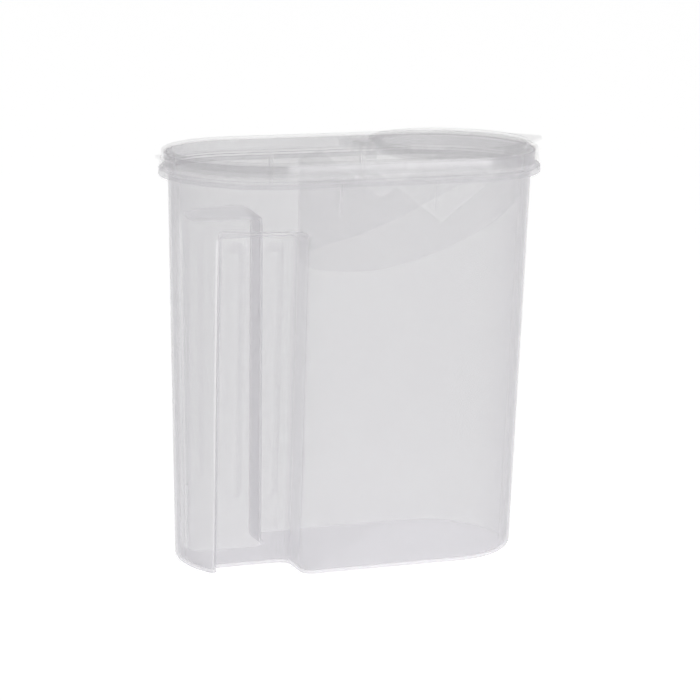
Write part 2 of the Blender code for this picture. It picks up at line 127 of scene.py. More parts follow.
# Pour opening, its neck, and the chute: a racetrack tube whose mouth is cut along a wide arc.
CAP_RADIUS = CAP_HIGH[1]
CAP_X = HINGE_X + 54.5 * MM
NECK_RADIUS = CAP_RADIUS - 3.6 * MM
NECK_TOP = DECK_TOP + 2.9 * MM
CHUTE_HALF_STRAIGHT = 23.5 * MM
CHUTE_MIDDLE = CAP_X - CHUTE_HALF_STRAIGHT
CHUTE_END = LID_LOW[2] - 7.0 * MM
CHUTE_DRAFT = 1.0 * MM
CHUTE_ARC_X = CHUTE_MIDDLE - 78.0 * MM
CHUTE_ARC_LOW = LID_LOW[2]
CHUTE_ARC_RADIUS = 229.0 * MM
CHUTE_NOTCH_LOW = CHUTE_ARC_LOW + 30.0 * MM
CHUTE_NOTCH_TOP = DECK_TOP - 6.7 * MM
CHUTE_NOTCH_SPREAD = 1.32

# Flip cap.
CAP_TOP = CAP_HIGH[2]
CAP_WALL = 1.3 * MM
GAP = 0.3 * MM
CAP_PLUG_RADIUS = CAP_RADIUS - 4.2 * MM
CAP_PLUG_TAPER = 0.2 * MM
CAP_DISH_TOP = CAP_TOP - 6.8 * MM
CAP_DISH_ROUND = 1.2 * MM
CAP_RING_INNER = CAP_RADIUS - 5.5 * MM
TAB_TIP_X = CAP_HIGH[0]
TAB_TIP_RADIUS = 9.0 * MM
TAB_ROOT_ANGLE = math.radians(30)
TAB_TOP = CAP_TOP - 0.5 * MM
TAB_THICKNESS = 1.5 * MM

# Cap hinge, along Y.
BARREL_RADIUS = 2.3 * MM
BARREL_HALF_WIDTH = 9.2 * MM
PIN_RADIUS = 1.4 * MM
PIN_END = 12.6 * MM
EAR_INNER_Y = 9.7 * MM
EAR_OUTER_Y = 12.9 * MM
EAR_RADIUS = 3.3 * MM
EAR_HOLE_RADIUS = 1.75 * MM

# Points along a half-round end, around a full turn, and along each kind of round.
END_STEPS = 72
TURN_STEPS = 160
SHARP_STEPS = 3
COLLAR_STEPS = 6
EDGE_STEPS = 8
ROUND_STEPS = 10
MOUTH_STEPS = 12
LIP_STEPS = 18
EAR_STEPS = 20
TAB_STEPS = 24
PIN_STEPS = 32
RIDGE_STEPS = 44
BARREL_STEPS = 48

# Faces that meet at more than SHARP_ANGLE keep a crisp edge. Points within CLOSE are one point, SHARP is
# the radius of a crisp moulded edge, and FAR is past every part.
SHARP_ANGLE = math.radians(32)
CLOSE = 0.01 * MM
SHARP = 0.3 * MM
FAR = 200.0 * MM

# Plastics: name, colour, how clear a wall is face on and edge on, and roughness.
TUB_PLASTIC = ('tub_polypropylene', (0.862, 0.850, 0.881), 0.78, 0.56, 0.25)
# The lid and cap colour is lighter than the tub's: painted light that offsets the shade of their stacked
# walls.
LID_PLASTIC = ('lid_polypropylene', (0.98, 0.97, 0.985), 0.91, 0.87, 0.16)
CAP_PLASTIC = ('cap_polypropylene', (0.98, 0.97, 0.985), 0.92, 0.88, 0.16)
REFRACTION = 1.49

# The fine grain of the surface, and the cloudiness that varies its colour and its roughness.
GRAIN_SCALE = 900.0
GRAIN_STRENGTH = 0.04
GRAIN_DEPTH = 0.1 * MM
CLOUD_SCALE = 7.0
CLOUD_SHADE = 0.985
CLOUD_ROUGHNESS = 0.02
NOISE_DETAIL = 2.0

# Crisp edges get a painted highlight: they glow by emission, of the strength just below. An edge is where
# the normal, rounded over EDGE_WIDTH, leaves the face's own:
# the glow starts where their product falls below EDGE_START and is full at EDGE_FULL.
EDGE_PAINTED_GLOW = 0.6
EDGE_WIDTH = 1.2 * MM
EDGE_SAMPLES = 6
EDGE_START = 0.97
EDGE_FULL = 0.75

# The share of the light that the outer faces mirror, and how late clearness and mirroring change.
FACE_ON_MIRROR = 0.03
GLANCE_MIRROR = 0.15
CLEARNESS_POWER = 2.0
MIRROR_POWER = 5.0

# Light all round: its strength in front of the object and behind it, and where it fades between them.
FRONT_GLOW = 0.0509
BACK_GLOW = 0.0636
FADE_START = -0.6
FADE_END = 0.8

# Lamps: a wide soft light from above, and a low strip in front that the rim of the lid reflects.
OVERHEAD_POWER = 1.15
OVERHEAD_WIDTH = math.radians(70)
OVERHEAD_TILT = math.radians(-8)
STRIP_PLACE = (0.75, -1.7, 0.33)
STRIP_AIM = (0, 0, 0.24)
STRIP_SIZE = (1.1, 0.07)
STRIP_POWER = 4.5

# Floor: white paper that keeps its brightness under the object.
FLOOR_SIZE = 12.0
FLOOR_DROP = 0.2 * MM
FLOOR_SHADE = 0.93
FLOOR_ROUGHNESS = 0.8
FLOOR_GLOW = 0.62

# Camera: it turns about a point inside the tub.
CAMERA_TARGET = (0, 0, 0.120)
CAMERA_AZIMUTH = math.radians(-22.35)
CAMERA_ELEVATION = math.radians(11.86)
CAMERA_ROLL = math.radians(1.19)
CAMERA_DISTANCE = 1.7764
CAMERA_LENS = 153.3
CAMERA_SENSOR = 36.0
CAMERA_SHIFT = (0.0033, 0.0064)
CAMERA_REACH = 50.0

# Bounces, so that light gets through all the walls in a row.
CLEAR_BOUNCES = 48
ALL_BOUNCES = 24
DIFFUSE_BOUNCES = 10
GLOSSY_BOUNCES = 6


# ---------------------------------------------------------------- materials

def new_material(name):
    material = bpy.data.materials.new(name)
    material.use_nodes = True
    nodes = material.node_tree.nodes
    nodes.clear()
    return material, nodes, material.node_tree.links


def noise(nodes, vector, scale):
    texture = nodes.new('ShaderNodeTexNoise')
    texture.inputs['Scale'].default_value = scale
    texture.inputs['Detail'].default_value = NOISE_DETAIL
    vector.id_data.links.new(vector, texture.inputs['Vector'])
    return texture.outputs['Fac']


def spread(nodes, value, low, high):
    """Stretch the middle of a noise over a range."""
    mapped = nodes.new('ShaderNodeMapRange')
    mapped.clamp = False
    mapped.inputs['From Min'].default_value = 0.25
    mapped.inputs['From Max'].default_value = 0.75
    mapped.inputs['To Min'].default_value = low
    mapped.inputs['To Max'].default_value = high
    value.id_data.links.new(value, mapped.inputs['Value'])
    return mapped.outputs['Result']


def painted_glow_mask(nodes, links):
    """1 along crisp edges, which get a painted glow, and 0 elsewhere."""
    rounded = nodes.new('ShaderNodeBevel')
    rounded.samples = EDGE_SAMPLES
    rounded.inputs['Radius'].default_value = EDGE_WIDTH
    plain = nodes.new('ShaderNodeNewGeometry')
    along = nodes.new('ShaderNodeVectorMath')
    along.operation = 'DOT_PRODUCT'
    links.new(rounded.outputs['Normal'], along.inputs[0])
    links.new(plain.outputs['Normal'], along.inputs[1])
    mask = nodes.new('ShaderNodeMapRange')
    mask.inputs['From Min'].default_value = EDGE_START
    mask.inputs['From Max'].default_value = EDGE_FULL
    links.new(along.outputs['Value'], mask.inputs['Value'])
    return mask.outputs['Result']


def glance(nodes, power):
    """0 where the surface is seen face on, rising to 1 where it is seen edge on."""
    facing = nodes.new('ShaderNodeLayerWeight')
    facing.inputs['Blend'].default_value = 0.5
    raised = nodes.new('ShaderNodeMath')
    raised.operation = 'POWER'
    raised.inputs[1].default_value = power
    facing.id_data.links.new(facing.outputs['Facing'], raised.inputs[0])
    return raised.outputs['Value']


def mirror_share(nodes, links):
    """How much of the light the outer faces mirror: more at a glance than face on."""
    share = nodes.new('ShaderNodeMapRange')
    share.inputs['To Min'].default_value = FACE_ON_MIRROR
    share.inputs['To Max'].default_value = GLANCE_MIRROR
    links.new(glance(nodes, MIRROR_POWER), share.inputs['Value'])
    side = nodes.new('ShaderNodeNewGeometry')
    outer = nodes.new('ShaderNodeMath')
    outer.operation = 'SUBTRACT'
    outer.inputs[0].default_value = 1.0
    links.new(side.outputs['Backfacing'], outer.inputs[1])
    shown = nodes.new('ShaderNodeMath')
    shown.operation = 'MULTIPLY'
    links.new(share.outputs['Result'], shown.inputs[0])
    links.new(outer.outputs['Value'], shown.inputs[1])
    return shown.outputs['Value']


def translucent_plastic(name, color, clear_face, clear_edge, roughness):
    """Thin milky polypropylene: part of the light goes straight through, the rest is scattered."""
    material, nodes, links = new_material(name)
    output = nodes.new('ShaderNodeOutputMaterial')
    where = nodes.new('ShaderNodeTexCoord').outputs['Object']
    cloud = noise(nodes, where, CLOUD_SCALE)
    grain = noise(nodes, where, GRAIN_SCALE)

    tint = nodes.new('ShaderNodeMix')
    tint.data_type = 'RGBA'
    tint.inputs[6].default_value = (*[part * CLOUD_SHADE for part in color], 1)
    tint.inputs[7].default_value = (*color, 1)
    links.new(spread(nodes, cloud, 0.0, 1.0), tint.inputs['Factor'])
    tint_color = tint.outputs[2]

    relief = nodes.new('ShaderNodeBump')
    relief.inputs['Strength'].default_value = GRAIN_STRENGTH
    relief.inputs['Distance'].default_value = GRAIN_DEPTH
    links.new(grain, relief.inputs['Height'])

    cover = nodes.new('ShaderNodeMapRange')
    cover.inputs['To Min'].default_value = 1 - clear_face
    cover.inputs['To Max'].default_value = 1 - clear_edge
    links.new(glance(nodes, CLEARNESS_POWER), cover.inputs['Value'])

    # Painted highlight: the mask of crisp edges that are made to glow.
    edges = painted_glow_mask(nodes, links)
    skin = nodes.new('ShaderNodeBsdfPrincipled')
    skin.inputs['IOR'].default_value = REFRACTION
    links.new(tint_color, skin.inputs['Base Color'])
    uneven = spread(nodes, cloud, roughness - CLOUD_ROUGHNESS, roughness + CLOUD_ROUGHNESS)
    links.new(uneven, skin.inputs['Roughness'])
    links.new(relief.outputs['Normal'], skin.inputs['Normal'])
    # The edges glow white by emission, a painted highlight rather than a lamp.
    skin.inputs['Emission Color'].default_value = (1, 1, 1, 1)
    painted_edge_glow = nodes.new('ShaderNodeMath')
    painted_edge_glow.operation = 'MULTIPLY'
    painted_edge_glow.inputs[1].default_value = EDGE_PAINTED_GLOW
    links.new(edges, painted_edge_glow.inputs[0])
    links.new(painted_edge_glow.outputs['Value'], skin.inputs['Emission Strength'])
    glow = nodes.new('ShaderNodeBsdfTranslucent')
    links.new(tint_color, glow.inputs['Color'])
    milky = nodes.new('ShaderNodeMixShader')
    milky.inputs['Fac'].default_value = 0.5
    links.new(skin.outputs['BSDF'], milky.inputs[1])
    links.new(glow.outputs['BSDF'], milky.inputs[2])

    through = nodes.new('ShaderNodeBsdfTransparent')
    body = nodes.new('ShaderNodeMixShader')
    links.new(cover.outputs['Result'], body.inputs['Fac'])
    links.new(through.outputs['BSDF'], body.inputs[1])
    links.new(milky.outputs['Shader'], body.inputs[2])

    gloss = nodes.new('ShaderNodeBsdfGlossy')
    gloss.inputs['Roughness'].default_value = roughness
    coated = nodes.new('ShaderNodeMixShader')
    links.new(mirror_share(nodes, links), coated.inputs['Fac'])
    links.new(body.outputs['Shader'], coated.inputs[1])
    links.new(gloss.outputs['BSDF'], coated.inputs[2])
    links.new(coated.outputs['Shader'], output.inputs['Surface'])
    return material


# ---------------------------------------------------------------- outlines

def arc(center, radius, start, end, steps):
    """Points along an arc, both ends included."""
    angles = [start + (end - start) * i / steps for i in range(steps + 1)]
    return [(center[0] + radius * math.cos(a), center[1] + radius * math.sin(a)) for a in angles]


def round_corner(before, corner, after, radius, steps):
    """The arc that rounds one corner of an outline, in the direction of travel."""
    corner = Vector(corner)
    back = (Vector(before) - corner).normalized()
    ahead = (Vector(after) - corner).normalized()
    half = back.angle(ahead) / 2
    center = corner + (back + ahead).normalized() * radius / math.sin(half)
    first = corner + back * radius / math.tan(half) - center
    side = math.copysign(1, ahead.x * back.y - ahead.y * back.x)
    turn = (math.pi - 2 * half) * side
    return [tuple(center + Matrix.Rotation(turn * i / steps, 2) @ first) for i in range(steps + 1)]


def racetrack(radius, half_straight=HALF_STRAIGHT, center_x=0.0):
    """Two half circles joined by straight sides, anticlockwise."""
    quarter = math.pi / 2
    right = arc((center_x + half_straight, 0), radius, -quarter, quarter, END_STEPS)
    left = arc((center_x - half_straight, 0), radius, quarter, 3 * quarter, END_STEPS)
    return right + left


# ---------------------------------------------------------------- shells

def add_object(name, bm):
    """Turn a closed bmesh into an object with outward faces."""
    bmesh.ops.recalc_face_normals(bm, faces=bm.faces)
    mesh = bpy.data.meshes.new(name)
    bm.to_mesh(mesh)
    bm.free()
    obj = bpy.data.objects.new(name, mesh)
    bpy.context.scene.collection.objects.link(obj)
    return obj


def evaluated_bmesh(obj):
    """The object's mesh with its modifiers done, in world coordinates."""
    mesh = bpy.data.meshes.new_from_object(obj.evaluated_get(bpy.context.evaluated_depsgraph_get()))
    mesh.transform(obj.matrix_world)
    bm = bmesh.new()
    bm.from_mesh(mesh)
    bpy.data.meshes.remove(mesh)
    bmesh.ops.remove_doubles(bm, verts=bm.verts, dist=CLOSE)
    return bm


def loft(name, sections, ring=False):
    """Skin closed sections in order. A ring joins the last to the first; else both ends are capped."""
    bm = bmesh.new()
    loops = [[bm.verts.new(point) for point in section] for section in sections]
    following = loops[1:] + loops[:1] if ring else loops[1:]
    for low, high in zip(loops, following):
        for i in range(len(low)):
            j = (i + 1) % len(low)
            bm.faces.new((low[i], low[j], high[j], high[i]))
    if not ring:
        bm.faces.new(list(reversed(loops[0])))
        bm.faces.new(loops[-1])
    return add_object(name, bm)


def turned(name, profile, closed):
    """A profile turned about the upright line through the middle of the cap."""
    mesh = bpy.data.meshes.new(name)
    edges = [(i, i + 1) for i in range(len(profile) - 1)]
    if closed:
        edges.append((len(profile) - 1, 0))
    mesh.from_pydata([(radius, 0.0, z) for radius, z in profile], edges, [])
    obj = bpy.data.objects.new(name, mesh)
    obj.location = (CAP_X, 0, 0)
    bpy.context.scene.collection.objects.link(obj)
    screw = obj.modifiers.new('turn', 'SCREW')
    screw.axis = 'Z'
    screw.angle = 2 * math.pi
    screw.steps = TURN_STEPS
    screw.render_steps = TURN_STEPS
    screw.use_merge_vertices = True
    screw.merge_threshold = CLOSE
    return obj


def flat_solid(name, outline, thickness, location, rotation):
    """A plate with the given outline, its middle plane through location."""
    curve = bpy.data.curves.new(name, 'CURVE')
    curve.dimensions = '2D'
    curve.fill_mode = 'BOTH'
    curve.extrude = thickness / 2
    spline = curve.splines.new('POLY')
    spline.points.add(len(outline) - 1)
    for point, (x, y) in zip(spline.points, outline):
        point.co = (x, y, 0, 1)
    spline.use_cyclic_u = True
    drawn = bpy.data.objects.new(name, curve)
    drawn.location = location
    drawn.rotation_euler = rotation
    bpy.context.scene.collection.objects.link(drawn)
    bm = evaluated_bmesh(drawn)
    bpy.data.objects.remove(drawn, do_unlink=True)
    return add_object(name, bm)


def level_plate(name, outline, low, high):
    """A plate that lies level between two heights."""
    return flat_solid(name, outline, high - low, (0, 0, (low + high) / 2), (0, 0, 0))


def side_plate(name, outline, y_from, y_to):
    """A plate whose outline is drawn in XZ, standing across Y."""
    middle = (0, (y_from + y_to) / 2, 0)
    return flat_solid(name, outline, abs(y_to - y_from), middle, (math.pi / 2, 0, 0))


def rod_along_y(name, center, radius, half_length, steps):
    """A round rod across the object."""
    bm = bmesh.new()
    place = Matrix.Translation(center) @ Matrix.Rotation(math.pi / 2, 4, 'X')
    bmesh.ops.create_cone(bm, cap_ends=True, segments=steps, radius1=radius, radius2=radius,
                          depth=2 * half_length, matrix=place)
    return add_object(name, bm)


def block(name, low, high):
    """A box between two corners."""
    size = Vector(high) - Vector(low)
    middle = (Vector(high) + Vector(low)) / 2
    bm = bmesh.new()
    place = Matrix.Translation(middle) @ Matrix.Diagonal((*size, 1.0))
    bmesh.ops.create_cube(bm, size=1.0, matrix=place)
    return add_object(name, bm)


def boolean(target, operand, operation):
    modifier = target.modifiers.new(operand.name, 'BOOLEAN')
    modifier.operation = operation
    modifier.object = operand
    modifier.solver = 'EXACT'


def drop(obj):
    """Remove an object and whatever its booleans were made with."""
    for operand in [modifier.object for modifier in obj.modifiers if modifier.type == 'BOOLEAN']:
        drop(operand)
    bpy.data.objects.remove(obj, do_unlink=True)


def moulding(name, shape):
    """One closed, smooth-shaded body from a shape and its booleans."""
    bm = evaluated_bmesh(shape)
    drop(shape)
    piece = add_object(name, bm)
    piece.data.shade_smooth()
    piece.data.set_sharp_from_angle(angle=SHARP_ANGLE)
    weighted = piece.modifiers.new('weighted normals', 'WEIGHTED_NORMAL')
    weighted.keep_sharp = True
    return piece


# ---------------------------------------------------------------- tub

def wall_radius(z):
    return BASE_RADIUS + DRAFT * z


def half_width(x, radius):
    """Half width of the racetrack at x."""
    past = max(abs(x) - HALF_STRAIGHT, 0.0)
    return math.sqrt(max(radius * radius - past * past, 0.0))


def ridge_height(x, z):
    """Height of the two round-ended finger ridges above the floor of the grip."""
    height = 0.0
    for center in RIDGE_X:
        past_end = max(RIDGE_BOTTOM + RIDGE_HALF_WIDTH - z, z - RIDGE_TOP + RIDGE_HALF_WIDTH, 0.0)
        distance = math.hypot(x - center, past_end) / RIDGE_HALF_WIDTH
        if distance < 1.0:
            height += RIDGE_HEIGHT * 0.5 * (1 + math.cos(math.pi * distance))
    return height


def grip_outline(radius, inset, z, corner_shift):
    """Plan of one grip on the -Y side, from the flat face round to the middle of the end."""
    waist = GRIP_WAIST + DRAFT * z - inset
    wall_x = GRIP_WALL_X + inset - corner_shift
    end_x = GRIP_END_X - inset
    flat = (wall_x + 2 * GRIP_MOUTH_ROUND, -radius)
    mouth = (wall_x, -radius)
    floor_start = (wall_x, -waist)
    floor_end = (end_x, -waist)
    lip = (-HALF_STRAIGHT - radius * math.cos(GRIP_LIP_ANGLE), -radius * math.sin(GRIP_LIP_ANGLE))
    lip_round = max(GRIP_LIP_ROUND - inset, GRIP_LIP_ROUND / 2)
    past_lip = arc((-HALF_STRAIGHT, 0), radius, math.pi + GRIP_LIP_ANGLE * 0.75, math.pi, LIP_STEPS)
    into_floor = round_corner(mouth, floor_start, floor_end, GRIP_FLOOR_ROUND + inset, ROUND_STEPS)
    out_of_floor = round_corner(floor_start, floor_end, lip, GRIP_LIP_ROUND + inset, EDGE_STEPS)
    into_mouth = round_corner(flat, mouth, floor_start, GRIP_MOUTH_ROUND - inset, MOUTH_STEPS)
    points = [flat] + into_mouth + into_floor
    first, last = into_floor[-1][0], out_of_floor[0][0]
    for i in range(1, RIDGE_STEPS):
        x = first + (last - first) * i / RIDGE_STEPS
        points.append((x, -waist - ridge_height(x, z)))
    points += out_of_floor
    points += round_corner(floor_end, lip, past_lip[0], lip_round, EDGE_STEPS)
    return points + past_lip


def tub_section(z, inset, radius=None):
    """One level of the tub's surface, inset from the drafted wall or from the given radius."""
    radius = (wall_radius(z) if radius is None else radius) - inset
    below_top = max(GRIP_TOP + inset - z, 0.0)
    depth = 0.5 - 0.5 * math.cos(math.pi * min(below_top / GRIP_ROOF, 1.0))
    corner = GRIP_CORNER + inset
    gap = max(corner - below_top, 0.0)
    corner_shift = corner - math.sqrt(corner ** 2 - gap ** 2)
    half = arc((HALF_STRAIGHT, 0), radius, 0, -math.pi / 2, END_STEPS // 2)
    for x, y in grip_outline(radius, inset, z, corner_shift):
        full = -half_width(x, radius)
        half.append((x, full + (y - full) * depth))
    other = [(x, -y) for x, y in reversed(half[1:-1])]
    return [(x, y, z) for x, y in half + other]


def base_levels(radius, floor_z, inset, steps):
    """(height, inset) of a rounded bottom edge, from the flat bottom up to the wall."""
    angles = [math.pi / 2 * (1 - i / steps) for i in range(steps + 1)]
    return [(floor_z + radius * (1 - math.sin(a)), inset + radius * (1 - math.cos(a))) for a in angles]


def wall_levels(inset):
    """(height, inset) where the drafted wall changes: the ridge ends and the roof of the grip."""
    steps = 8
    rise = [RIDGE_HALF_WIDTH * i / steps for i in range(steps + 1)]
    heights = [RIDGE_BOTTOM + part for part in rise] + [RIDGE_TOP - part for part in rise]
    roof = GRIP_TOP + inset
    heights += [roof - GRIP_ROOF * i / (2 * steps) for i in range(2 * steps + 1)]
    return [(z, inset) for z in sorted(heights)]


def rim_profile():
    """(radius, height) of the collar and rim, from the top of the outer wall over to the inner wall."""
    edge = 0.7 * MM
    lip = COLLAR_RADIUS - COLLAR_LIP
    return [
        (RIM_RADIUS, SHOULDER_TOP),
        (lip, SHOULDER_TOP),
        (lip, COLLAR_BOTTOM + SHARP),
        *arc((lip + SHARP, COLLAR_BOTTOM + SHARP), SHARP, math.pi, 1.5 * math.pi, SHARP_STEPS),
        *arc((COLLAR_RADIUS - SHARP, COLLAR_BOTTOM + SHARP), SHARP, 1.5 * math.pi, 2 * math.pi, SHARP_STEPS),
        *arc((COLLAR_RADIUS - edge, COLLAR_TOP - edge), edge, 0, math.pi / 2, COLLAR_STEPS),
        (RIM_RADIUS, COLLAR_TOP),
        *arc((RIM_RADIUS - WALL / 2, RIM_TOP - WALL / 2), WALL / 2, 0, math.pi, ROUND_STEPS),
        (RIM_RADIUS - WALL, SHOULDER_TOP + MM),
    ]


def tub_sections():
    outer = base_levels(BASE_ROUND, 0.0, 0.0, ROUND_STEPS) + wall_levels(0.0) + [(WALL_TOP, 0.0)]
    inner = base_levels(BASE_ROUND - WALL, FLOOR, WALL, EDGE_STEPS) + wall_levels(WALL) + [(WALL_TOP, WALL)]
    sections = [tub_section(z, inset) for z, inset in outer]
    sections += [tub_section(z, 0.0, radius) for radius, z in rim_profile()]
    sections += [tub_section(z, inset) for z, inset in reversed(inner)]
    return sections


def stacking_rib(x, side):
    """A tapered fin between the wall and the collar, drawn in YZ."""
    face = wall_radius(RIB_BOTTOM)
    top = SHOULDER_TOP + 0.5 * MM
    outline = [
        (side * (face - WALL / 2), RIB_BOTTOM),
        (side * (face + 1.0 * MM), RIB_BOTTOM),
        (side * (face + RIB_REACH), top),
        (side * (face - WALL / 2), top),
    ]
    turn = (math.pi / 2, 0, math.pi / 2)
    return flat_solid('stacking rib', outline, RIB_THICKNESS, (x, 0, 0), turn)


def make_tub():
    tub = loft('tub wall', tub_sections())
    for x in (-RIB_X, RIB_X):
        for side in (-1, 1):
            boolean(tub, stacking_rib(x, side), 'UNION')
    return moulding('tub_moulding', tub)


# ---------------------------------------------------------------- lid

def lid_rim_profile():
    """Section through the lid rim: the skirt, the top, and the plug wall that enters the tub."""
    edge = 0.9 * MM
    inner = PLUG_RADIUS - LID_WALL
    bottom = PANEL_TOP - LID_WALL - PLUG_DROP
    quarter = math.pi / 2
    return [
        (inner, bottom),
        (PLUG_RADIUS, bottom),
        (PLUG_RADIUS, LID_TOP - LID_WALL),
        (SKIRT_NECK_RADIUS - LID_WALL, LID_TOP - LID_WALL),
        (SKIRT_RADIUS - LID_WALL, LID_BOTTOM),
        *arc((SKIRT_RADIUS - SHARP, LID_BOTTOM + SHARP), SHARP, -quarter, 0, SHARP_STEPS),
        (SKIRT_RADIUS, LID_BOTTOM + 2.0 * MM),
        (SKIRT_RADIUS - 0.5 * MM, SKIRT_BAND_TOP),
        *arc((SKIRT_NECK_RADIUS - edge, LID_TOP - edge), edge, 0, quarter, EDGE_STEPS),
        *arc((inner + edge, LID_TOP - edge), edge, quarter, math.pi, EDGE_STEPS),
    ]


def stepped_floor():
    """The floor of the lid in one piece: the sunk panel, the step up and the raised deck."""
    outline = [
        (-FAR, PANEL_TOP - LID_WALL),
        (DECK_EDGE_X + LID_WALL, PANEL_TOP - LID_WALL),
        (DECK_EDGE_X + LID_WALL, DECK_TOP - LID_WALL),
        (FAR, DECK_TOP - LID_WALL),
        (FAR, DECK_TOP),
        (DECK_EDGE_X, DECK_TOP),
        (DECK_EDGE_X, PANEL_TOP),
        (-FAR, PANEL_TOP),
    ]
    floor = side_plate('stepped floor', outline, -FAR, FAR)
    inside = racetrack(PLUG_RADIUS - LID_WALL / 2)
    boolean(floor, level_plate('within the rim', inside, LID_BOTTOM, LID_TOP), 'INTERSECT')
    return floor


def cap_disc(name, radius, low, high):
    """A disc on the cap's centre line."""
    return turned(name, [(0, high), (radius, high), (radius, low), (0, low)], False)


def neck():
    """The raised ring round the pour opening that the cap fits over."""
    outer = NECK_RADIUS + LID_WALL
    foot = DECK_TOP - LID_WALL * 0.75
    quarter = math.pi / 2
    profile = [
        *arc((NECK_RADIUS + SHARP, NECK_TOP - SHARP), SHARP, math.pi, quarter, SHARP_STEPS),
        *arc((outer - SHARP, NECK_TOP - SHARP), SHARP, quarter, 0, SHARP_STEPS),
        (outer, foot),
        (NECK_RADIUS, foot),
    ]
    return turned('neck', profile, True)


def chute_ring(radius, z):
    """One level of the chute; its round end at +X is centred under the cap."""
    return [(x, y, z) for x, y in racetrack(radius, CHUTE_HALF_STRAIGHT, CHUTE_MIDDLE)]


def chute():
    """A tube under the opening, deep on the hinge side, with an arched mouth and side notches."""
    top = DECK_TOP - LID_WALL / 2
    high = NECK_RADIUS + SHARP
    low = high - CHUTE_DRAFT
    levels = [(high + LID_WALL, top), (low + LID_WALL, CHUTE_END), (low, CHUTE_END), (high, top)]
    tube = loft('chute', [chute_ring(radius, z) for radius, z in levels], ring=True)

    mouth_center = (CHUTE_ARC_X, 0, CHUTE_ARC_LOW + CHUTE_ARC_RADIUS)
    mouth = rod_along_y('chute mouth', mouth_center, CHUTE_ARC_RADIUS, FAR, 2 * TURN_STEPS)
    boolean(tube, mouth, 'INTERSECT')

    reach = (CHUTE_NOTCH_TOP - CHUTE_NOTCH_LOW) * CHUTE_NOTCH_SPREAD
    notch = [
        (CHUTE_MIDDLE, CHUTE_NOTCH_LOW),
        (CHUTE_MIDDLE + reach, CHUTE_NOTCH_TOP),
        (CHUTE_MIDDLE - reach, CHUTE_NOTCH_TOP),
    ]
    boolean(tube, side_plate('chute notch', notch, -FAR, FAR), 'DIFFERENCE')

    above_low = (-FAR, -FAR, PANEL_TOP - LID_WALL / 2)
    above_high = (DECK_EDGE_X + LID_WALL / 2, FAR, LID_TOP)
    boolean(tube, block('above panel', above_low, above_high), 'DIFFERENCE')
    return tube


def hinge_ear(side):
    """One round-topped ear that stands on the sunk panel and takes a hinge pin."""
    foot = PANEL_TOP - LID_WALL / 2
    shelf = DECK_TOP - 0.4 * MM
    root = DECK_EDGE_X + LID_WALL / 2
    outline = [(root, foot), (root, shelf), (HINGE_X + EAR_RADIUS, shelf)]
    outline += arc((HINGE_X, HINGE_Z), EAR_RADIUS, 0, math.pi, EAR_STEPS)
    outline += [(HINGE_X - EAR_RADIUS, foot)]
    return side_plate('hinge ear', outline, side * EAR_INNER_Y, side * EAR_OUTER_Y)


def lift_lip():
    """The small ledge at the grip end that lifts the lid off."""
    corner = 3.0 * MM
    root = -HALF_STRAIGHT - SKIRT_NECK_RADIUS + LID_WALL
    near = LIFT_LIP_X + corner
    side = LIFT_LIP_HALF_WIDTH - corner
    outline = [(root, -LIFT_LIP_HALF_WIDTH), (root, LIFT_LIP_HALF_WIDTH)]
    outline += arc((near, side), corner, math.pi / 2, math.pi, ROUND_STEPS)
    outline += arc((near, -side), corner, math.pi, math.pi * 1.5, ROUND_STEPS)
    return level_plate('lift lip', outline, LIFT_LIP_TOP - LIFT_LIP_THICKNESS, LIFT_LIP_TOP)


def make_lid():
    sections = [[(x, y, z) for x, y in racetrack(radius)] for radius, z in lid_rim_profile()]
    lid = loft('lid rim', sections, ring=True)
    pins = (HINGE_X, 0, HINGE_Z)
    boolean(lid, cap_disc('cap seat', CAP_RADIUS + GAP, DECK_TOP - GAP / 3, LID_TOP + MM), 'DIFFERENCE')
    boolean(lid, stepped_floor(), 'UNION')
    boolean(lid, cap_disc('opening', NECK_RADIUS + LID_WALL / 2, CHUTE_END, LID_TOP + MM), 'DIFFERENCE')
    boolean(lid, chute(), 'UNION')
    boolean(lid, neck(), 'UNION')
    for side in (-1, 1):
        boolean(lid, hinge_ear(side), 'UNION')
    pin_hole = rod_along_y('pin hole', pins, EAR_HOLE_RADIUS, EAR_OUTER_Y + MM, PIN_STEPS)
    boolean(lid, pin_hole, 'DIFFERENCE')
    boolean(lid, lift_lip(), 'UNION')
    return moulding('lid_moulding', lid)


# ---------------------------------------------------------------- flip cap

def cap_profile():
    """Section from the axis outwards: the dish, the rounded ring, and back along the underside."""
    ring_bottom = DECK_TOP + GAP
    dish_bottom = CAP_DISH_TOP - CAP_WALL
    edge = 1.1 * MM
    dish_edge = CAP_RING_INNER - CAP_PLUG_TAPER - CAP_DISH_ROUND
    plug_edge = CAP_PLUG_RADIUS - CAP_PLUG_TAPER - CAP_DISH_ROUND
    quarter = math.pi / 2
    return [
        (0.0, CAP_DISH_TOP),
        *arc((dish_edge, CAP_DISH_TOP + CAP_DISH_ROUND), CAP_DISH_ROUND, -quarter, 0, EDGE_STEPS),
        *arc((CAP_RING_INNER + edge, CAP_TOP - edge), edge, math.pi, quarter, EDGE_STEPS),
        *arc((CAP_RADIUS - edge, CAP_TOP - edge), edge, quarter, 0, EDGE_STEPS),
        (CAP_RADIUS, ring_bottom),
        (CAP_RADIUS - CAP_WALL, ring_bottom),
        (CAP_RADIUS - CAP_WALL, CAP_TOP - CAP_WALL),
        (CAP_PLUG_RADIUS, CAP_TOP - CAP_WALL),
        *arc((plug_edge, dish_bottom + CAP_DISH_ROUND), CAP_DISH_ROUND, 0, -quarter, EDGE_STEPS),
        (0.0, dish_bottom),
    ]


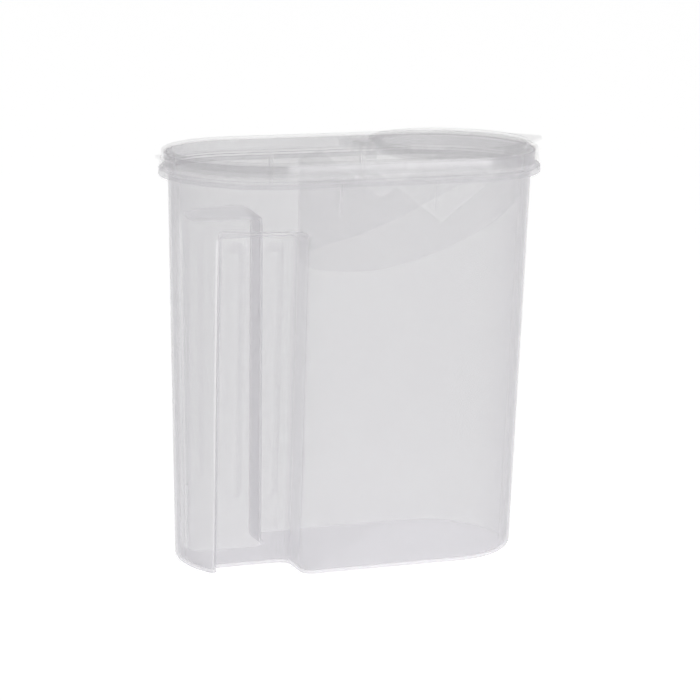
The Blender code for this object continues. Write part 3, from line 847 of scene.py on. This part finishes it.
def thumb_tab():
    """A flat tab that runs off the ring and narrows to a round tip."""
    spread = math.radians(60)
    outline = arc((TAB_TIP_X - TAB_TIP_RADIUS, 0), TAB_TIP_RADIUS, -spread, spread, TAB_STEPS)
    outline += arc((CAP_X, 0), CAP_RADIUS - CAP_WALL / 2, TAB_ROOT_ANGLE, -TAB_ROOT_ANGLE, TAB_STEPS)
    return level_plate('thumb tab', outline, TAB_TOP - TAB_THICKNESS, TAB_TOP)


def make_cap():
    hinge = (HINGE_X, 0, HINGE_Z)
    strap_low = (HINGE_X, -BARREL_HALF_WIDTH, DECK_TOP + GAP)
    strap_high = (CAP_X - CAP_RADIUS + CAP_WALL, BARREL_HALF_WIDTH, HINGE_Z + BARREL_RADIUS)
    cap = turned('cap dish', cap_profile(), False)
    boolean(cap, thumb_tab(), 'UNION')
    boolean(cap, block('hinge strap', strap_low, strap_high), 'UNION')
    boolean(cap, rod_along_y('hinge barrel', hinge, BARREL_RADIUS, BARREL_HALF_WIDTH, BARREL_STEPS), 'UNION')
    boolean(cap, rod_along_y('hinge pins', hinge, PIN_RADIUS, PIN_END, PIN_STEPS), 'UNION')
    return moulding('cap_moulding', cap)


def put_on(piece, body, node, material):
    """Give a piece its material, and let it stand for a CAD node on its body."""
    piece.data.materials.append(material)
    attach(piece, body)
    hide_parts(node)


# ---------------------------------------------------------------- surroundings

def floor_material():
    material, nodes, links = new_material('floor_paper')
    output = nodes.new('ShaderNodeOutputMaterial')
    surface = nodes.new('ShaderNodeBsdfPrincipled')
    surface.inputs['Base Color'].default_value = (FLOOR_SHADE, FLOOR_SHADE, FLOOR_SHADE, 1)
    surface.inputs['Roughness'].default_value = FLOOR_ROUGHNESS
    surface.inputs['Emission Color'].default_value = (1, 1, 1, 1)
    surface.inputs['Emission Strength'].default_value = FLOOR_GLOW
    links.new(surface.outputs['BSDF'], output.inputs['Surface'])
    return material


def make_floor():
    bpy.ops.mesh.primitive_plane_add(size=FLOOR_SIZE, location=(0, 0, CAD_BOX[0][2] - FLOOR_DROP))
    floor = bpy.context.object
    floor.name = 'floor'
    floor.data.materials.append(floor_material())


def overhead_light():
    data = bpy.data.lights.new('overhead_softbox', 'SUN')
    data.energy = OVERHEAD_POWER
    data.angle = OVERHEAD_WIDTH
    light = bpy.data.objects.new('overhead_softbox', data)
    light.rotation_euler = (OVERHEAD_TILT, 0, 0)
    bpy.context.scene.collection.objects.link(light)


def front_strip():
    data = bpy.data.lights.new('front_strip', 'AREA')
    data.shape = 'RECTANGLE'
    data.size, data.size_y = STRIP_SIZE
    data.energy = STRIP_POWER
    light = bpy.data.objects.new('front_strip', data)
    light.location = STRIP_PLACE
    direction = Vector(STRIP_AIM) - Vector(STRIP_PLACE)
    light.rotation_euler = direction.to_track_quat('-Z', 'Y').to_euler()
    bpy.context.scene.collection.objects.link(light)


def make_world():
    """A white backdrop to look at, and a faint light all round that is stronger behind the object."""
    world = bpy.data.worlds.new('studio')
    world.use_nodes = True
    nodes = world.node_tree.nodes
    links = world.node_tree.links
    where = nodes.new('ShaderNodeTexCoord')
    split = nodes.new('ShaderNodeSeparateXYZ')
    links.new(where.outputs['Generated'], split.inputs['Vector'])
    fade = nodes.new('ShaderNodeMapRange')
    fade.inputs['From Min'].default_value = FADE_START
    fade.inputs['From Max'].default_value = FADE_END
    fade.inputs['To Min'].default_value = FRONT_GLOW
    fade.inputs['To Max'].default_value = BACK_GLOW
    links.new(split.outputs['Y'], fade.inputs['Value'])
    light = nodes['Background']
    light.inputs['Color'].default_value = (1, 1, 1, 1)
    links.new(fade.outputs['Result'], light.inputs['Strength'])
    backdrop = nodes.new('ShaderNodeBackground')
    backdrop.inputs['Color'].default_value = (1, 1, 1, 1)
    shown = nodes.new('ShaderNodeMixShader')
    links.new(nodes.new('ShaderNodeLightPath').outputs['Is Camera Ray'], shown.inputs['Fac'])
    links.new(light.outputs['Background'], shown.inputs[1])
    links.new(backdrop.outputs['Background'], shown.inputs[2])
    links.new(shown.outputs['Shader'], nodes['World Output'].inputs['Surface'])
    bpy.context.scene.world = world


def make_camera():
    """A long lens looks along the body from the grip end, a little from above."""
    level = math.cos(CAMERA_ELEVATION)
    back = Vector((math.sin(CAMERA_AZIMUTH) * level,
                   -math.cos(CAMERA_AZIMUTH) * level,
                   math.sin(CAMERA_ELEVATION)))
    data = bpy.data.cameras.new('camera')
    data.sensor_width = CAMERA_SENSOR
    data.lens = CAMERA_LENS
    data.shift_x, data.shift_y = CAMERA_SHIFT
    data.clip_end = CAMERA_REACH
    camera = bpy.data.objects.new('camera', data)
    place = Matrix.Translation(Vector(CAMERA_TARGET) + back * CAMERA_DISTANCE)
    turn = (-back).to_track_quat('-Z', 'Y').to_matrix().to_4x4()
    camera.matrix_world = place @ turn @ Matrix.Rotation(CAMERA_ROLL, 4, 'Z')
    bpy.context.scene.collection.objects.link(camera)
    bpy.context.scene.camera = camera


def make_object():
    put_on(make_tub(), 'tub', 'container_body', translucent_plastic(*TUB_PLASTIC))
    put_on(make_lid(), 'lid', 'lid', translucent_plastic(*LID_PLASTIC))
    put_on(make_cap(), 'cap', 'flip_cap', translucent_plastic(*CAP_PLASTIC))


def make_surroundings():
    scene = bpy.context.scene
    scene.view_settings.view_transform = 'Standard'
    scene.cycles.transparent_max_bounces = CLEAR_BOUNCES
    scene.cycles.max_bounces = ALL_BOUNCES
    scene.cycles.diffuse_bounces = DIFFUSE_BOUNCES
    scene.cycles.glossy_bounces = GLOSSY_BOUNCES
    make_floor()
    make_world()
    overhead_light()
    front_strip()
    make_camera()


make_object()
make_surroundings()
